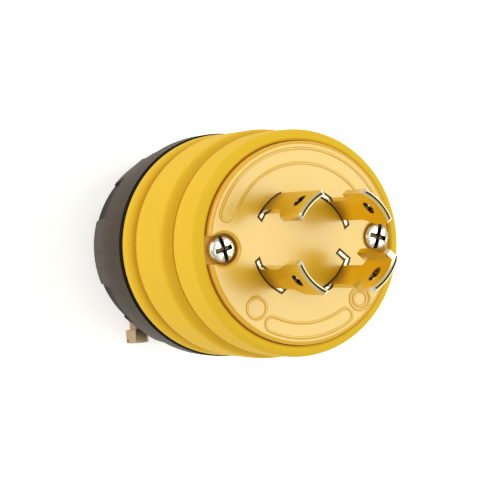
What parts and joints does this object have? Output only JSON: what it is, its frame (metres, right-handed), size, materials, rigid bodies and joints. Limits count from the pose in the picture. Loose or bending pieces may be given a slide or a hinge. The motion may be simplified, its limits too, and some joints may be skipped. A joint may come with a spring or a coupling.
{
  "type": "locking power plug",
  "caption": "Cylindrical twist-locking power plug with curved hooked blades, a yellow rubber grip sleeve and a black split cord-clamp housing.",
  "frame": {"origin": "middle of the rear end, at the cord entry", "axes": "+Z from the cord entry to the blade tips, X through the two assembly screws and in the split of the rear housing, -Y towards the heads of the cord clamp screws"},
  "size_m": [0.0644, 0.0644, 0.1191],
  "materials": {
    "face_nylon": "glossy moulded nylon, warm yellow",
    "sleeve_rubber": "matte moulded elastomer, yellow",
    "carrier_nylon": "moulded nylon, cream",
    "housing_nylon": "satin moulded nylon, warm black",
    "blade_metal": "rolled and plated brass, satin",
    "terminal_brass": "plain brass, satin",
    "terminal_silver": "nickel plated, satin",
    "terminal_green": "green dyed metal",
    "screw_nickel": "bright nickel plated steel",
    "clamp_steel": "yellow zinc plated steel"
  },
  "bodies": {
    "root": {"face_plate": "face_nylon", "grip_sleeve": "sleeve_rubber", "terminal_carrier": "carrier_nylon", "rear_housing_upper": "housing_nylon", "rear_housing_lower": "housing_nylon", "blade_x": "blade_metal", "blade_y": "blade_metal", "blade_neutral": "blade_metal", "blade_ground": "blade_metal", "pressure_plate_x": "terminal_brass", "pressure_plate_y": "terminal_brass", "pressure_plate_neutral": "terminal_brass", "pressure_plate_ground": "terminal_brass", "terminal_screw_x": "terminal_brass", "terminal_screw_y": "terminal_brass", "terminal_screw_neutral": "terminal_silver", "terminal_screw_ground": "terminal_green", "assembly_screw_left": "screw_nickel", "assembly_screw_right": "screw_nickel", "threaded_inserts": "terminal_brass", "clamp_screw_left": "clamp_steel", "clamp_screw_right": "clamp_steel", "clamp_nuts": "clamp_steel"}
  },
  "joints": []
}
